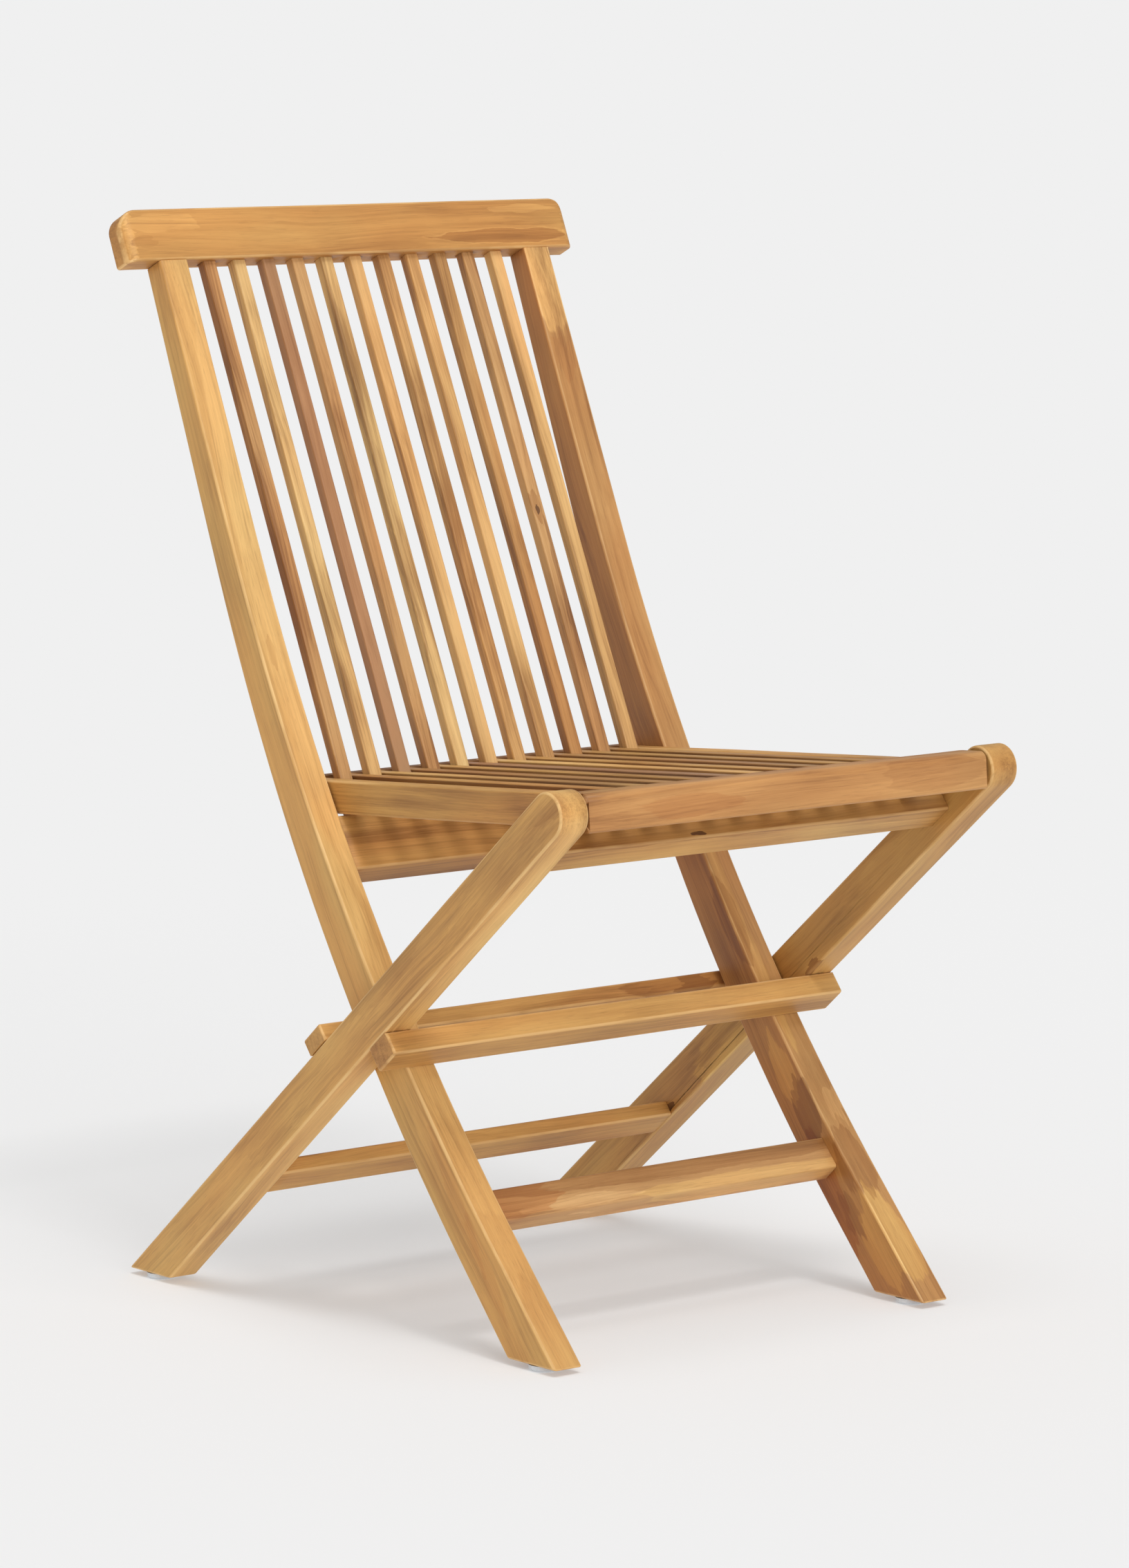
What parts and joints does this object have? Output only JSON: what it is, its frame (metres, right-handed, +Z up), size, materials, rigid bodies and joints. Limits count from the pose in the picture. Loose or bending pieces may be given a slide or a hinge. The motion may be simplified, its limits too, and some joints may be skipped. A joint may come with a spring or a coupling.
{
  "type": "folding chair",
  "caption": "Slatted wooden folding chair with a bowed high back, crossed legs and a seat that slides up behind the back as it folds.",
  "frame": {"origin": "on the floor, in the middle of the open chair's width and depth", "axes": "+Z up, +Y towards the back, the sitter faces -Y, +X to the sitter's left"},
  "size_m": [0.458, 0.6052, 0.888],
  "materials": {
    "teak": "oiled teak, honey brown, fine straight grain, satin",
    "teak_pale": "oiled teak, paler golden boards, satin",
    "teak_slats": "oiled teak, slats that differ from golden to pinkish brown, satin",
    "beech": "plain dowel",
    "steel": "plain stainless steel",
    "glide_plastic": "milky white plastic"
  },
  "bodies": {
    "back_frame": {"right_stile": "teak_pale", "left_stile": "teak_pale", "top_rail": "teak", "lower_back_rail": "teak", "front_stretcher": "teak", "back_slat_01": "teak_slats", "back_slat_02": "teak_slats", "back_slat_03": "teak_slats", "back_slat_04": "teak_slats", "back_slat_05": "teak_slats", "back_slat_06": "teak_slats", "back_slat_07": "teak_slats", "back_slat_08": "teak_slats", "back_slat_09": "teak_slats", "back_slat_10": "teak_slats", "back_slat_11": "teak_slats", "right_front_foot_glide": "glide_plastic", "left_front_foot_glide": "glide_plastic", "right_pivot_washer": "steel", "left_pivot_washer": "steel"},
    "leg_frame": {"right_outer_leg": "teak", "left_outer_leg": "teak", "under_seat_rail": "teak", "rear_stretcher": "teak", "front_stop_bar": "teak", "rear_stop_bar": "teak", "right_rear_foot_glide": "glide_plastic", "left_rear_foot_glide": "glide_plastic", "right_pivot_pin": "steel", "left_pivot_pin": "steel", "right_seat_pin": "steel", "left_seat_pin": "steel", "right_front_bar_dowel": "beech", "right_rear_bar_dowel": "beech", "left_front_bar_dowel": "beech", "left_rear_bar_dowel": "beech"},
    "seat": {"seat_front_rail": "teak", "seat_rear_rail": "teak", "right_seat_side_rail": "teak", "left_seat_side_rail": "teak", "seat_slat_01": "teak_slats", "seat_slat_02": "teak_slats", "seat_slat_03": "teak_slats", "seat_slat_04": "teak_slats", "seat_slat_05": "teak_slats", "seat_slat_06": "teak_slats", "seat_slat_07": "teak_slats", "seat_slat_08": "teak_slats", "seat_slat_09": "teak_slats", "seat_slat_10": "teak_slats", "right_seat_washer": "steel", "left_seat_washer": "steel"}
  },
  "joints": [
    {"name": "frame_fold", "type": "hinge", "parent": "back_frame", "child": "leg_frame", "pos_m": [0, -0.02301, 0.23559], "axis": [-1, 0, 0], "range_deg": [0, 75]},
    {"name": "seat_fold", "type": "hinge", "parent": "leg_frame", "child": "seat", "pos_m": [0, -0.28384, 0.43938], "axis": [1, 0, 0], "range_deg": [0, 133.9]}
  ],
  "couplings": [
    {"joint": "seat_fold", "follows": "frame_fold", "ratio": 1.785}
  ]
}
